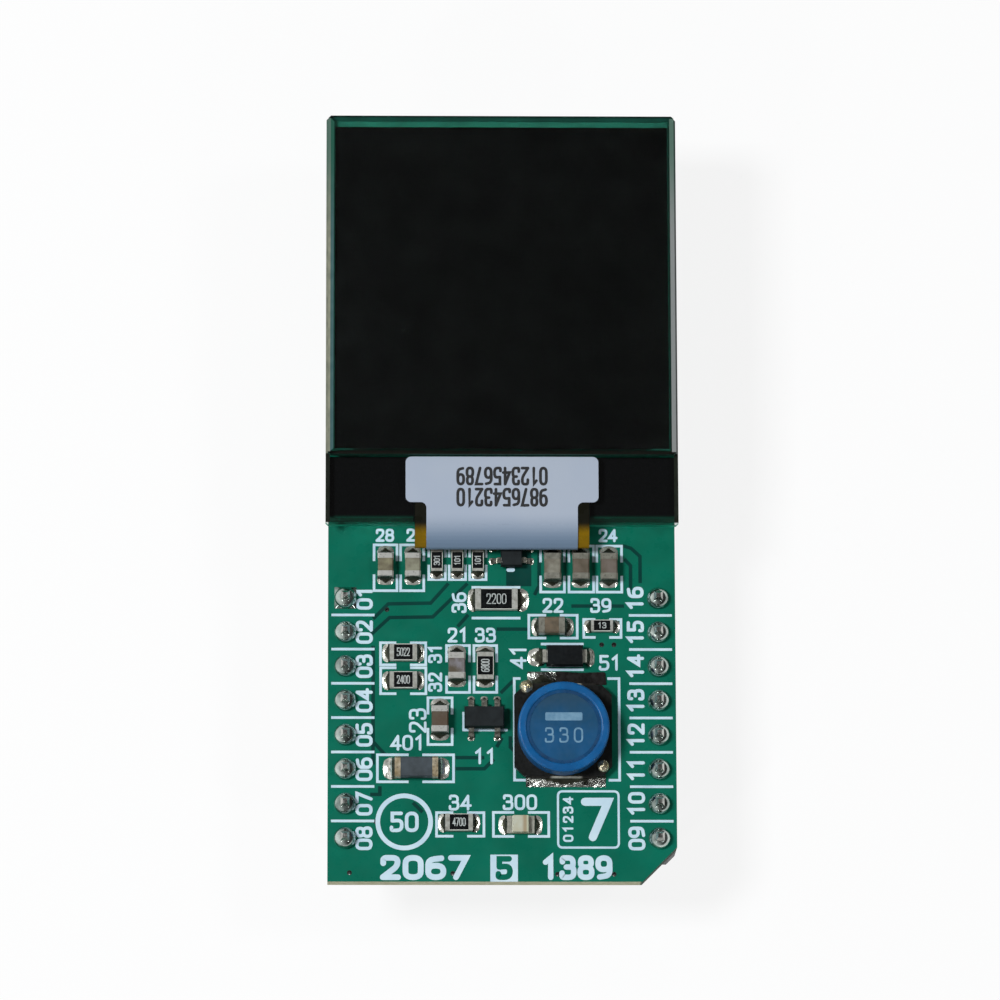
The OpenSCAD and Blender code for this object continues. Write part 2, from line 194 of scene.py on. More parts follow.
def make_fade():
    """A mask that grows along a direction, from one distance to another, in metres."""
    group, source, result = start_group(
        "fade",
        [("Direction", "Vector", (0, 1, 0)), ("Start", "Float", 0.0), ("End", "Float", 0.01)],
        [("Mask", "Float")])
    place = group.nodes.new("ShaderNodeTexCoord")
    along = group.nodes.new("ShaderNodeVectorMath")
    along.operation = "DOT_PRODUCT"
    link(group, place.outputs["Object"], along.inputs[0])
    link(group, source.outputs["Direction"], along.inputs[1])
    ramp = group.nodes.new("ShaderNodeMapRange")
    ramp.interpolation_type = "SMOOTHSTEP"
    link(group, along.outputs["Value"], ramp.inputs["Value"])
    link(group, source.outputs["Start"], ramp.inputs["From Min"])
    link(group, source.outputs["End"], ramp.inputs["From Max"])
    link(group, ramp.outputs["Result"], result.inputs["Mask"])
    return group


TONE_DRIFT = make_tone_drift()
SURFACE_RELIEF = make_surface_relief()
FADE = make_fade()


class Finish:
    """One material: a Principled shader fed by the groups above."""

    def __init__(self, name, main, other, grain=400.0, relief=2500.0, rough=(0.3, 0.5), bump=0.0,
                 gloss=0.5, **fixed):
        self.material = bpy.data.materials.new(name)
        self.material.use_nodes = True
        self.tree = self.material.node_tree
        self.shader = self.tree.nodes["Principled BSDF"]
        self.shader.inputs["Specular IOR Level"].default_value = gloss
        for label, value in fixed.items():
            self.shader.inputs[label.replace("_", " ")].default_value = value
        drift = self.group(TONE_DRIFT, Main=paint(main), Other=paint(other), Scale=grain)
        self.colour = drift.outputs["Color"]
        link(self.tree, self.colour, self.shader.inputs["Base Color"])
        surface = self.group(SURFACE_RELIEF, Scale=relief, Smooth=rough[0], Rough=rough[1])
        link(self.tree, surface.outputs["Roughness"], self.shader.inputs["Roughness"])
        if bump:
            lift = self.tree.nodes.new("ShaderNodeBump")
            lift.inputs["Strength"].default_value = 1.0
            lift.inputs["Distance"].default_value = bump * MM
            link(self.tree, surface.outputs["Height"], lift.inputs["Height"])
            link(self.tree, lift.outputs["Normal"], self.shader.inputs["Normal"])

    def group(self, tree, **values):
        node = self.tree.nodes.new("ShaderNodeGroup")
        node.node_tree = tree
        for label, value in values.items():
            node.inputs[label].default_value = value
        return node

    def blend(self, mask, code):
        """Lays another colour over the present one where the mask is 1."""
        mix = self.tree.nodes.new("ShaderNodeMix")
        mix.data_type = "RGBA"
        link(self.tree, mask, mix.inputs["Factor"])
        link(self.tree, self.colour, mix.inputs["A"])
        mix.inputs["B"].default_value = paint(code)
        self.colour = mix.outputs["Result"]
        link(self.tree, self.colour, self.shader.inputs["Base Color"])

    def fade_to(self, code, direction, start, end):
        """Fades to another colour along a direction, between two distances in the frame."""
        mask = self.group(FADE, Direction=direction, Start=start, End=end)
        self.blend(mask.outputs["Mask"], code)

    def fade(self, code, way, start, end):
        """Fades to another colour towards one side, between two places in the board's millimetres."""
        x, y = {"right": (1, 0), "left": (-1, 0), "up": (0, 1), "down": (0, -1)}[way]
        self.fade_to(code, (x, y, 0), *[x * at * MM + y * along_y(at) for at in (start, end)])


def along_y(y):
    """A height above the board's lower edge as a place along the frame's Y."""
    return spot(0, y).y


# ---------- finishes ----------

solder_mask = Finish("solder_mask", "096b56", "07604c", 260.0, 900.0, (0.24, 0.36), 0.004, gloss=0.12)
mask_channel_and_shade = Finish("mask_channel_and_shade", "083f38", "063732", 500.0, 2000.0, (0.3, 0.45), 0.003, gloss=0.08)
laminate_edge = Finish("laminate_edge", "c6c5a6", "b3b18e", 1500.0, 5000.0, (0.55, 0.8), 0.02, gloss=0.1)
CUT_SUM = 10.15      # x less the height above the lower edge, on the cut corner's face, in millimetres
laminate_edge.fade_to("1d3a2a", (1, -1, 0), (CUT_SUM - 0.2) * MM - board_low.y,
                      CUT_SUM * MM - board_low.y)
# painted shade: the board's right edge face is darker, on the side away from the key lamp
laminate_edge.fade("8a8a6c", "right", 12.6, 12.69)
white_ink = Finish("white_ink", "c9e0ea", "b8d2e2", 700.0, 5000.0, (0.5, 0.65), 0.004, gloss=0.25)
TIN = {"grain": 2600.0, "relief": 6000.0, "rough": (0.24, 0.42), "bump": 0.006, "Metallic": 0.4}
chip_end = Finish("chip_end", "8e8d82", "76756a", **TIN)
# painted sheen: the capacitor ends are lighter on the board's left half, towards the key lamp
chip_end.fade("babab4", "left", 1.5, -1.5)
resistor_end = Finish("resistor_end", "bcbeb7", "98978d", **TIN)
lead_plate = Finish("lead_plate", "b2b1a6", "8a897e", 2600.0, 5000.0, (0.18, 0.34), 0.006, Metallic=0.9)
clip_plate = Finish("clip_plate", "a5a599", "8b8a7e", 2600.0, 6000.0, (0.3, 0.45), 0.006, Metallic=0.4)
clip_plate.fade("15130d", "left", 3.7, 3.4)
clip_plate.fade("15130d", "right", 5.6, 5.9)
flux_brown = Finish("flux_brown", "1b1716", "0f0d0b", 900.0, 2400.0, (0.2, 0.4), 0.03, gloss=0.3)
lug_solder = Finish("lug_solder", "e6dfc4", "8e8258", 2400.0, 3000.0, (0.12, 0.3), 0.05, Metallic=0.85)
tin_plate = Finish("tin_plate", "b4b3a8", "9c9c90", **TIN)
pad_plate = Finish("pad_plate", "aeb3ae", "8b928d", 1800.0, 4000.0, (0.2, 0.4), 0.008, Metallic=0.6)
# the joints' solder comes in two copies: the dark one is painted shade, the dark reflection next to a
# terminal and down a joint's middle, and the bright one is the lit solder
solder_painted_shade = Finish("solder_painted_shade", "45473a", "2a2b22", 1500.0, 2200.0, (0.2, 0.4), 0.03, Metallic=0.7)
bright_solder = Finish("bright_solder", "f0efe6", "b2b3a8", 1500.0, 2200.0, (0.12, 0.28), 0.02,
                       Metallic=0.75)
# painted highlights: bright and near-black specks that stand in for glints and dark reflections on the
# rough solder
rough_solder = Finish("rough_solder", "d0d2cc", "2a2b25", 1500.0, 2200.0, (0.12, 0.35), 0.2, Metallic=1.0)
pin_solder = Finish("pin_solder", "c4d0ca", "76837e", 900.0, 1500.0, (0.12, 0.28), 0.015, Metallic=1.0)
pin_plate = Finish("pin_plate", "c2c3bd", "8f918c", 1800.0, 5000.0, (0.16, 0.34), 0.01, Metallic=1.0)
header_black = Finish("header_black", "1c1d1e", "121314", 900.0, 6000.0, (0.45, 0.6), 0.01)
foam_black = Finish("foam_black", "0c0d0f", "050607", 3000.0, 8000.0, (0.85, 1.0), 0.05, gloss=0.1)
ledge_dark = Finish("ledge_dark", "0c0d0f", "07090a", 3000.0, 8000.0, (0.85, 1.0), 0.05, gloss=0.1)
# painted shade: near the glass edge the strips turn to the board's green, darkening inwards as the shadow
# under the ledge glass deepens
ledge_dark.fade("22a583", "down", 26.85, 26.05)
panel_black = Finish("panel_black", "030405", "020304", 160.0, 500.0, (0.3, 0.4), gloss=0.05)
panel_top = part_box("display_panel_layer")[1].y
panel_black.fade("070911", "left", 2, -11)
panel_black.fade_to("0c2820", (0, 1, 0), panel_top - 0.8 * MM, panel_top)
panel_black.fade("2c2614", "down", 34.6, 32.4)
margin_green = Finish("margin_green", "1b6a58", "165a4a", 600.0, 2500.0, (0.35, 0.5), 0.01, gloss=0.1)
seal_resin = Finish("seal_resin", "196454", "145044", 600.0, 2500.0, (0.35, 0.5), 0.01, gloss=0.1)
seal_resin.fade("191a12", "down", 34.0, 32.2)
seamed_edge = Finish("seamed_edge", "8c8d7b", "747768", 1300.0, 4000.0, (0.5, 0.7), 0.02, gloss=0.2)
seamed_edge.fade("818483", "right", -4, 4)
seamed_edge.fade("4f6a5e", "up", 47.0, 55.0)
# painted light: a lit teal strip inside the left rim, over the seal where the rim and the glass wall cast
# shade
inner_edge = Finish("inner_edge", "466565", "3b5a5c", 1300.0, 4000.0, (0.4, 0.6), 0.01, gloss=0.1)
inner_edge.fade("245546", "up", 47.0, 55.0)
# painted shade: the ledge rims are dark because the board under the bare ledge lies in shadow
ledge_rim_shade = Finish("ledge_rim_shade", "1c211a", "14170f", 1300.0, 4000.0, (0.5, 0.7), 0.02, gloss=0.1)
glass_wall = Finish("glass_wall", "1b4a3c", "143c31", 900.0, 4000.0, (0.3, 0.5), 0.01, gloss=0.1)
# painted light: the rear glass's upright faces are a bright green that stands in for lit board seen through
# them, though they face away from the lamps
rear_wall = Finish("rear_wall", "1c9477", "188267", 900.0, 4000.0, (0.4, 0.6), 0.01, gloss=0.05)
film_amber = Finish("film_amber", "82640b", "604c0c", 420.0, 1800.0, (0.22, 0.35), 0.006, gloss=0.15)
# painted shade: the film turns near-black where it runs in under the ledge glass
film_amber.fade("14140c", "up", 25.3, 26.2)
silicon = Finish("silicon", "3a3d40", "2b2e31", 900.0, 2500.0, (0.15, 0.3), 0.002, Coat_Weight=0.3)
label_white = Finish("label_white", "abb4c1", "a3aebf", 120.0, 6000.0, (0.4, 0.5), 0.003, gloss=0.25)
# painted shade: the label darkens down its bend towards the board
label_white.fade("6c8096", "down", 27.0, 24.6)
label_ink = Finish("label_ink", "090a0c", "101214", 2500.0, 6000.0, (0.5, 0.7))
base_black = Finish("base_black", "0f100e", "090a09", 1200.0, 5000.0, (0.3, 0.5), 0.01, gloss=0.2)
shield_blue = Finish("shield_blue", "105b94", "0d4f84", 700.0, 1600.0, (0.25, 0.4), 0.015, gloss=0.25)
core_blue = Finish("core_blue", "18507b", "1a4868", 420.0, 2500.0, (0.3, 0.45), 0.01, gloss=0.2)
# painted shade: the core is darker towards its far side, next to the ring
core_blue.fade("24465e", "up", 11.9, 13.2)
lacquer = Finish("lacquer", "12456f", "0f385c", 700.0, 1600.0, (0.2, 0.35), 0.02, gloss=0.45)
copper_wire = Finish("copper_wire", "a8562a", "7c3b1c", 1500.0, 4000.0, (0.25, 0.4), 0.01, Metallic=0.8)
package_black = Finish("package_black", "202527", "181c1e", 1600.0, 7000.0, (0.45, 0.62), 0.01, gloss=0.12)
diode_black = Finish("diode_black", "101416", "0b0e10", 1600.0, 5000.0, (0.3, 0.45), 0.008, gloss=0.15)
bead_cap = Finish("bead_cap", "c9bda4", "9c8a6a", 1500.0, 4000.0, (0.25, 0.45), 0.01, Metallic=0.7)
bead_grey = Finish("bead_grey", "444c52", "383f43", 1500.0, 5000.0, (0.4, 0.6), 0.01, gloss=0.2)
lamp_board = Finish("lamp_board", "d9d2b8", "b9b596", 1800.0, 5000.0, (0.4, 0.55), 0.006)
lamp_resin = Finish("lamp_resin", "bfc2b2", "b4ae94", 1300.0, 2500.0, (0.12, 0.25), 0.01)
lamp_resin.fade("a3957a", "right", 1.35, 1.6)
lamp_resin.fade("bcc0a8", "right", 1.66, 1.86)
alumina = Finish("alumina", "d6d7cf", "bfc0b8", 2000.0, 7000.0, (0.5, 0.7), 0.006)
resistor_black = Finish("resistor_black", "0e1112", "090b0c", 1600.0, 5000.0, (0.2, 0.38), 0.01,
                        gloss=0.15)
code_ink = Finish("code_ink", "b9c0be", "8d9492", 4000.0, 6000.0, (0.5, 0.7))
mark_ink = Finish("mark_ink", "6b93ad", "4f7c9a", 2500.0, 6000.0, (0.5, 0.7))
bare_copper = Finish("bare_copper", "1c1a12", "0d0e0a", 3000.0, 6000.0, (0.5, 0.7), Metallic=0.3)

# the fired bodies of the capacitors, one colour each
CERAMICS = ["837f63", "868672", "838174", "675c50", "6a6058", "7a6853", "8a8992", "4e3e2e"]
ceramics = [
    Finish(f"ceramic_{i}", code, "4f4636", 1100.0, 5000.0, (0.35, 0.5), 0.008)
    for i, code in enumerate(CERAMICS, 1)]


def add_glass(name, tint, shadow, rough, **fixed):
    """Clear glass that lets lamps shine through to what lies under it."""
    glass = Finish(name, tint, tint, 200.0, 600.0, rough, Transmission_Weight=1.0, **fixed)
    clear = glass.tree.nodes.new("ShaderNodeBsdfTransparent")
    clear.inputs["Color"].default_value = (shadow, shadow, shadow, 1.0)
    path = glass.tree.nodes.new("ShaderNodeLightPath")
    both = mix_shaders(glass.tree, path.outputs["Is Shadow Ray"], glass.shader.outputs["BSDF"],
                       clear.outputs["BSDF"])
    link(glass.tree, both, glass.tree.nodes["Material Output"].inputs["Surface"])
    return glass


panel_glass = add_glass("panel_glass", "d2d9d6", 0.8, (0.0, 0.02), IOR=1.5)
polarizer_film = add_glass("polarizer_film", "c8cfcc", 0.85, (0.06, 0.1), IOR=1.38)


UPRIGHT = 0.5      # a face whose normal rises less than this is upright


def dress(node, finish, side_finish=None):
    """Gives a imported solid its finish, and its upright faces another one if it is named."""
    thing = nodes[node]
    thing.data.materials.clear()
    thing.data.materials.append(finish.material)
    if side_finish:
        thing.data.materials.append(side_finish.material)
    for face in thing.data.polygons:
        face.material_index = 1 if side_finish and abs(face.normal.z) < UPRIGHT else 0


FINISH_OF = {
    "display_foam_pad": foam_black, "ledge_foam_strips": ledge_dark,
    "display_panel_layer": panel_black, "display_seal": seal_resin,
    "display_polarizer": polarizer_film, "display_flex": film_amber,
    "display_driver_chip": silicon, "display_cover_label": label_white,
    "flex_solder_fingers": bright_solder,
    "inductor_base": base_black, "inductor_clips": clip_plate, "inductor_core": core_blue,
    "inductor_winding": copper_wire, "inductor_shield": shield_blue,
    "regulator_body": package_black, "regulator_leads": lead_plate,
    "load_switch_body": package_black, "load_switch_leads": lead_plate,
    "diode_body": diode_black, "diode_leads": tin_plate,
    "led_base": lamp_board, "led_terminals": tin_plate, "led_lens": lamp_resin,
    "bead_body": bead_grey, "bead_terminals": bead_cap,
    "capacitor_terminals": chip_end, "resistor_terminals": resistor_end,
    "resistor_coats": resistor_black, "component_solder": bright_solder,
}
for node, finish in FINISH_OF.items():
    dress(node, finish)
for side in ("left", "right"):
    dress(f"{side}_header_strip", header_black)
    dress(f"{side}_header_pins", pin_plate)
    dress(f"{side}_pin_solder", pin_solder)
for node, finish in zip(CAPACITORS, ceramics):
    dress(node, finish)
for node in RESISTORS:
    dress(node, alumina)
dress("circuit_board", solder_mask, laminate_edge)
dress("display_rear_glass", panel_glass, rear_wall)
dress("display_front_glass", panel_glass, glass_wall)

# ---------- mesh helpers ----------

CREASE = math.radians(40)     # edges sharper than this stay sharp


def circle(x, y, radius, count=24):
    turns = [math.tau * i / count for i in range(count)]
    return [(x + radius * math.cos(a), y + radius * math.sin(a)) for a in turns]


def vectors(points):
    return [Vector(p) for p in points]


END_ANGLES = (0.5, 1.0, 1.35)     # steps round a stroke's round end
SHORTEST_MITRE = 0.45             # keeps the corner of a sharp turn short


class Piece:
    """Collects closed solids and turns them into one object that rides with the board."""

    def __init__(self):
        self.mesh = bmesh.new()

    def prism(self, outline, low, high):
        """A flat solid over an outline that runs anticlockwise."""
        floor = [self.mesh.verts.new(spot(x, y, low)) for x, y in outline]
        roof = [self.mesh.verts.new(spot(x, y, high)) for x, y in outline]
        self.mesh.faces.new(roof)
        self.mesh.faces.new(floor[::-1])
        for i in range(len(floor)):
            j = (i + 1) % len(floor)
            self.mesh.faces.new((floor[i], floor[j], roof[j], roof[i]))

    def block(self, x0, y0, x1, y1, low, high):
        """A flat solid over a rectangle."""
        self.prism([(x0, y0), (x1, y0), (x1, y1), (x0, y1)], low, high)

    def band(self, left, right, low, high, closed):
        """A flat solid between two rows of points, left and right of its run."""
        rings = []
        for a, b in zip(left, right):
            rings.append([self.mesh.verts.new(spot(p.x, p.y, h)) for p, h in
                          ((a, low), (b, low), (b, high), (a, high))])
        count = len(rings)
        for i in range(count if closed else count - 1):
            here, there = rings[i], rings[(i + 1) % count]
            for k in range(4):
                m = (k + 1) % 4
                self.mesh.faces.new((here[k], here[m], there[m], there[k]))
        if not closed:
            self.mesh.faces.new(rings[0][::-1])
            self.mesh.faces.new(rings[-1])

    def stroke(self, points, width, low, high, closed=False, round_ends=False):
        """A line of one width with mitred corners."""
        half = width / 2
        run = vectors(points)
        left, right = [], []
        count = len(run)
        for i, point in enumerate(run):
            before = run[i - 1] if closed or i > 0 else None
            after = run[(i + 1) % count] if closed or i < count - 1 else None
            into = (point - before).normalized() if before is not None else (after - point).normalized()
            out = (after - point).normalized() if after is not None else into
            way = (into + out).normalized()
            side = Vector((-way.y, way.x))
            reach = half / max(SHORTEST_MITRE, side.dot(Vector((-into.y, into.x))))
            sections = [(point, reach)]
            if round_ends and not closed and i in (0, count - 1):
                ends = [(point + way * half * math.sin(a) * (1 if i else -1), half * math.cos(a))
                        for a in END_ANGLES]
                sections = sections + ends if i else ends[::-1] + sections
            for middle, size in sections:
                left.append(middle + side * size)
                right.append(middle - side * size)
        self.band(left, right, low, high, closed)

    def finish(self, name, look, slot=None, smooth=False, second=None):
        """Makes the object; faces with material_index 1 have the second finish."""
        bmesh.ops.recalc_face_normals(self.mesh, faces=self.mesh.faces)
        if smooth:
            for face in self.mesh.faces:
                face.smooth = True
            for edge in self.mesh.edges:
                edge.smooth = edge.calc_face_angle(0.0) < CREASE
        data = bpy.data.meshes.new(name)
        self.mesh.to_mesh(data)
        self.mesh.free()
        data.materials.append(look.material)
        if second:
            data.materials.append(second.material)
        thing = bpy.data.objects.new(name, data)
        bpy.context.scene.collection.objects.link(thing)
        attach(thing, BODY)
        return thing


CURVE = (0, 0.2, 0.4, 0.6, 0.8, 1)      # steps along a rounded corner
SAME = 0.005                            # two points closer than this are one


def soften(points, radius, closed):
    """Rounds the corners of a run of points."""
    count = len(points)
    out = []
    for i, (x, y) in enumerate(points):
        corner = Vector((x, y))
        if not closed and i in (0, count - 1):
            out.append(corner)
            continue
        before, after = Vector(points[i - 1]), Vector(points[(i + 1) % count])
        cut = min(radius, (before - corner).length / 2, (after - corner).length / 2)
        start = corner + (before - corner).normalized() * cut
        end = corner + (after - corner).normalized() * cut
        for t in CURVE:
            point = start * (1 - t) ** 2 + corner * 2 * t * (1 - t) + end * t * t
            if not out or (point - out[-1]).length > SAME:
                out.append(point)
    if closed and (out[0] - out[-1]).length < SAME:
        out.pop()
    return out


FIGURE_WIDTH = 0.6
# the strokes of each figure, in a box of that width and 1 high; a closed one ends where it starts
FIGURES = {
    "0": [[(0, 0), (0.6, 0), (0.6, 1), (0, 1), (0, 0)]],
    "1": [[(0.08, 0.78), (0.34, 1), (0.34, 0)]],
    "2": [[(0.02, 0.72), (0.02, 1), (0.58, 1), (0.58, 0.58), (0, 0)], [(0, 0), (0.6, 0)]],
    "3": [[(0.02, 0.8), (0.02, 1), (0.56, 1), (0.56, 0.53), (0.22, 0.53)],
          [(0.22, 0.53), (0.6, 0.53), (0.6, 0), (0, 0), (0, 0.22)]],
    "4": [[(0.46, 0), (0.46, 1)], [(0.46, 1), (0, 0.28), (0.64, 0.28)]],
    "5": [[(0.56, 1), (0.05, 1), (0.05, 0.56)], [(0.05, 0.56), (0.6, 0.6), (0.6, 0), (0, 0), (0, 0.18)]],
    "6": [[(0.52, 0.98), (0, 0.9), (0, 0.3)], [(0, 0), (0.6, 0), (0.6, 0.6), (0, 0.6), (0, 0)]],
    "7": [[(0, 1), (0.6, 1), (0.2, 0)]],
    "8": [[(0.03, 0.53), (0.57, 0.53), (0.57, 1), (0.03, 1), (0.03, 0.53)],
          [(0, 0), (0.6, 0), (0.6, 0.53), (0, 0.53), (0, 0)]],
    "9": [[(0.08, 0.02), (0.6, 0.1), (0.6, 0.7)], [(0, 0.4), (0.6, 0.4), (0.6, 1), (0, 1), (0, 0.4)]],
}
STEP = 0.003     # one stroke of a figure stands this much over the one it crosses


def rounding_of(figure, layer):
    """How far the corners of one stroke of a figure are rounded."""
    if figure in "147" or (figure == "5" and layer == 0):
        return 0.0
    return 0.25 if figure == "2" else 0.3


def write(piece, figures, x, y, height, weight, low, high, turn=0, width=FIGURE_WIDTH, gap=0.28):
    """Strokes plain figures, centred on a place; width and gap are shares of the height."""
    angle = math.radians(turn)
    pitch = (width + gap) * height
    start = -(pitch * (len(figures) - 1) + width * height) / 2
    for k, figure in enumerate(figures):
        for layer, points in enumerate(FIGURES[figure]):
            closed = points[0] == points[-1]
            corners = points[:-1] if closed else points
            rounding = rounding_of(figure, layer)
            run = soften(corners, rounding, closed) if rounding else vectors(corners)
            placed = []
            for p in run:
                u = start + k * pitch + p.x * height * width / FIGURE_WIDTH
                v = (p.y - 0.5) * height
                placed.append((x + u * math.cos(angle) - v * math.sin(angle),
                               y + u * math.sin(angle) + v * math.cos(angle)))
            piece.stroke(placed, weight, low, high + layer * STEP, closed, round_ends=True)


def centre_of(node):
    low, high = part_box(node)
    middle = (low + high) / 2
    return middle.x / MM, (middle.y - board_low.y) / MM


def size_of(node):
    low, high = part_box(node)
    return (high - low) / MM


def top_of(node):
    return (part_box(node)[1].z - board_high.z) / MM


# ---------- printing on the board ----------

INK = 0.02          # thickness of the ink
LINE = 0.19         # width of a printed line
GAP = 1.0           # between the two brackets round a chip
NARROW_GAP = 0.55   # and round a chip whose frame is narrower than NARROW
NARROW = 1.3
PIN_X = 11.43
PITCH = 2.54
FIRST_PIN = 3.175
PINS = 8
RULE_IN, RULE_OUT = 9.3, 12.45     # ends of the lines between the pins' numbers

# x and y of two corners: frames whose gaps are on their upright sides, and on their level sides
UPRIGHT_FRAMES = (
    (-9.34, 21.5, -7.66, 24.92), (-7.4, 21.5, -5.7, 24.92), (2.86, 21.42, 4.6, 24.86),
    (4.93, 21.42, 6.74, 24.86), (6.98, 21.42, 8.8, 24.86), (-4.04, 13.94, -2.36, 17.42),
    (-2.04, 13.95, -0.38, 17.42), (-5.4, 10.08, -3.64, 13.54), (-5.34, 22.34, -4.12, 25.1),
    (-3.84, 22.34, -2.64, 25.1), (-2.34, 22.34, -1.14, 25.1))
LEVEL_FRAMES = (
    (1.98, 17.99, 5.52, 19.69), (6.0, 18.04, 8.72, 19.38), (-8.86, 15.98, -5.56, 17.62),
    (-8.85, 13.84, -5.55, 15.76), (-9.08, 7.33, -3.54, 9.32), (-4.78, 3.33, -1.34, 5.06),
    (-0.65, 3.32, 3.37, 5.08))
# beside the wide resistor, the diode, the regulator and the coil
SIDE_LINES = (
    [(-2.2, 21.76), (1.37, 21.76)], [(-2.2, 19.47), (1.37, 19.47)],
    [(2.85, 15.64), (5.98, 15.64)], [(2.85, 17.54), (5.98, 17.54)],
    [(-2.8, 12.5), (-2.8, 11.16), (0.4, 11.16)],
    [(1.36, 14.98), (0.9, 14.98), (0.9, 7.46), (1.8, 7.46)],
    [(7.7, 14.98), (8.55, 14.98), (8.55, 7.46), (7.75, 7.46)])


def frame_round(piece, x0, y0, x1, y1, upright, gap=GAP):
    """Two brackets round a chip, with a gap half way along its long sides."""
    for sign, x, y in ((1, x1, y1), (-1, x0, y0)):
        if upright:
            stop = (y0 + y1) / 2 + sign * gap / 2
            piece.stroke([(x0, stop), (x0, y), (x1, y), (x1, stop)], LINE, 0, INK)
        else:
            stop = (x0 + x1) / 2 + sign * gap / 2
            piece.stroke([(stop, y0), (x, y0), (x, y1), (stop, y1)], LINE, 0, INK)


def print_frames():
    ink = Piece()
    for x0, y0, x1, y1 in UPRIGHT_FRAMES:
        frame_round(ink, x0, y0, x1, y1, True, GAP if x1 - x0 > NARROW else NARROW_GAP)
    for x0, y0, x1, y1 in LEVEL_FRAMES:
        frame_round(ink, x0, y0, x1, y1, False)
    for line in SIDE_LINES:
        ink.stroke(line, LINE, 0, INK)
    # a dash under the load switch
    ink.stroke([(0.5, 23.07), (0.83, 23.07)], 0.29, 0, INK, round_ends=True)
    for side in (-1, 1):
        for i in range(PINS - 1):
            y = FIRST_PIN + (i + 0.5) * PITCH
            ink.stroke([(side * RULE_IN, y), (side * RULE_OUT, y)], LINE, 0, INK)
    ink.finish("printed_frames", white_ink)


# figures, x and y of their middle, height, and the turn in degrees
NUMBERS = (
    ("28", -8.55, 25.64, 0.8, 0), ("27", -6.3, 25.66, 0.8, 0), ("24", 7.8, 25.65, 0.8, 0),
    ("22", 3.75, 20.42, 0.92, 0), ("39", 7.25, 20.42, 0.92, 0),
    ("21", -3.2, 18.2, 0.92, 0), ("33", -1.2, 18.2, 0.92, 0),
    ("36", -3.12, 20.62, 0.92, 90), ("31", -4.88, 16.82, 0.85, 90), ("32", -4.88, 14.7, 0.85, 90),
    ("41", 1.2, 16.6, 1.05, 90), ("51", 7.9, 16.15, 0.98, 0), ("23", -6.15, 11.85, 1.1, 90),
    ("401", -6.88, 10.21, 0.98, 0), ("11", -1.24, 9.21, 0.98, 0), ("34", -3.08, 5.8, 0.98, 0),
    ("300", 1.28, 5.83, 0.98, 0))
LEFT_NUMBERS_X, RIGHT_NUMBERS_X = -10.05, 9.77
PIN_FIGURE, PIN_WEIGHT = 1.02, 0.24      # height and stroke of the pins' numbers


def print_numbers():
    ink = Piece()
    for figures, x, y, height, turn in NUMBERS:
        write(ink, figures, x, y, height, LINE, 0, INK, turn)
    ink.finish("printed_numbers", white_ink)
    pins = Piece()
    for i in range(PINS):
        y = FIRST_PIN + (PINS - 1 - i) * PITCH
        write(pins, f"{i + 1:02d}", LEFT_NUMBERS_X, y, PIN_FIGURE, PIN_WEIGHT, 0, INK, 90)
        write(pins, f"{2 * PINS - i:02d}", RIGHT_NUMBERS_X, y, PIN_FIGURE, PIN_WEIGHT, 0, INK, 90)
    pins.finish("printed_pin_numbers", white_ink)


RING_AT = (-7.13, 4.38)


def print_badges():
    """A plain ring, a plain box and a row of figures, each round a plain number."""
    ink = Piece()
    x, y = RING_AT
    ink.stroke(circle(x, y, 1.92, 48), 0.34, 0, INK, closed=True)
    write(ink, "50", x, y, 1.25, 0.26, 0, INK)
    box = soften([(4.05, 2.5), (8.46, 2.5), (8.46, 6.64), (4.05, 6.64)], 0.35, True)
    ink.stroke(box, 0.16, 0, INK, closed=True)
    write(ink, "01234", 4.78, 4.57, 0.62, 0.15, 0, INK, 90, 0.62, 0.5)
    write(ink, "7", 6.85, 4.57, 2.6, 0.6, 0, INK, 0, 0.64)
    write(ink, "2067", -5.66, 1.03, 1.42, 0.42, 0, INK, 0, 0.78, 0.38)
    ink.block(-0.88, 0, 1.12, 1.98, 0, INK)
    write(ink, "1389", 5.4, 1.03, 1.42, 0.4, 0, INK, 0, 0.6, 0.32)
    ink.finish("printed_badges", white_ink)
    cut_out = Piece()
    write(cut_out, "5", 0.12, 1.0, 1.34, 0.42, INK, INK + STEP, 0, 0.62)
    cut_out.finish("plate_number", solder_mask)


print_frames()
print_numbers()
print_badges()

# ---------- copper under the mask, vias and pads ----------

CHANNEL = 0.004          # thickness of the thin layer that darkens the mask
CHANNEL_WIDTH = 0.26
CHANNELS = (
    [(-3.9, 22.05), (-5.2, 20.58), (-8.3, 20.52), (-9.4, 19.4)],
    [(-2.5, 22.05), (-5.05, 19.55), (-8.2, 19.5), (-9.7, 18.1)],
    [(5.1, 20.38), (8.95, 20.38)],
    [(8.9, 24.9), (9.5, 24.7), (10.15, 24.1), (10.15, 22.1)],
    [(9.0, 23.9), (9.45, 23.4), (9.45, 21.6)],
    [(-3.4, 9.12), (-1.3, 9.12)], [(-3.4, 8.3), (-1.3, 8.3), (-0.6, 9.0)],
    [(-9.4, 10.3), (-8.5, 9.3)], [(-0.1, 13.9), (0.8, 14.8)],
    [(0.6, 10.7), (0.6, 9.9), (1.5, 9.0)], [(0.0, 10.6), (-0.4, 9.9)],
    [(-8.9, 7.0), (-8.9, 6.4), (-9.6, 6.4)],
    [(-0.38, 18.65), (1.89, 18.65)], [(-3.23, 18.83), (-2.45, 19.72)],
    [(2.4, 21.2), (2.75, 21.9), (2.75, 24.4)], [(-6.5, 5.8), (-5.8, 5.1)],
    [(-9.4, 8.6), (-9.4, 17.4)])


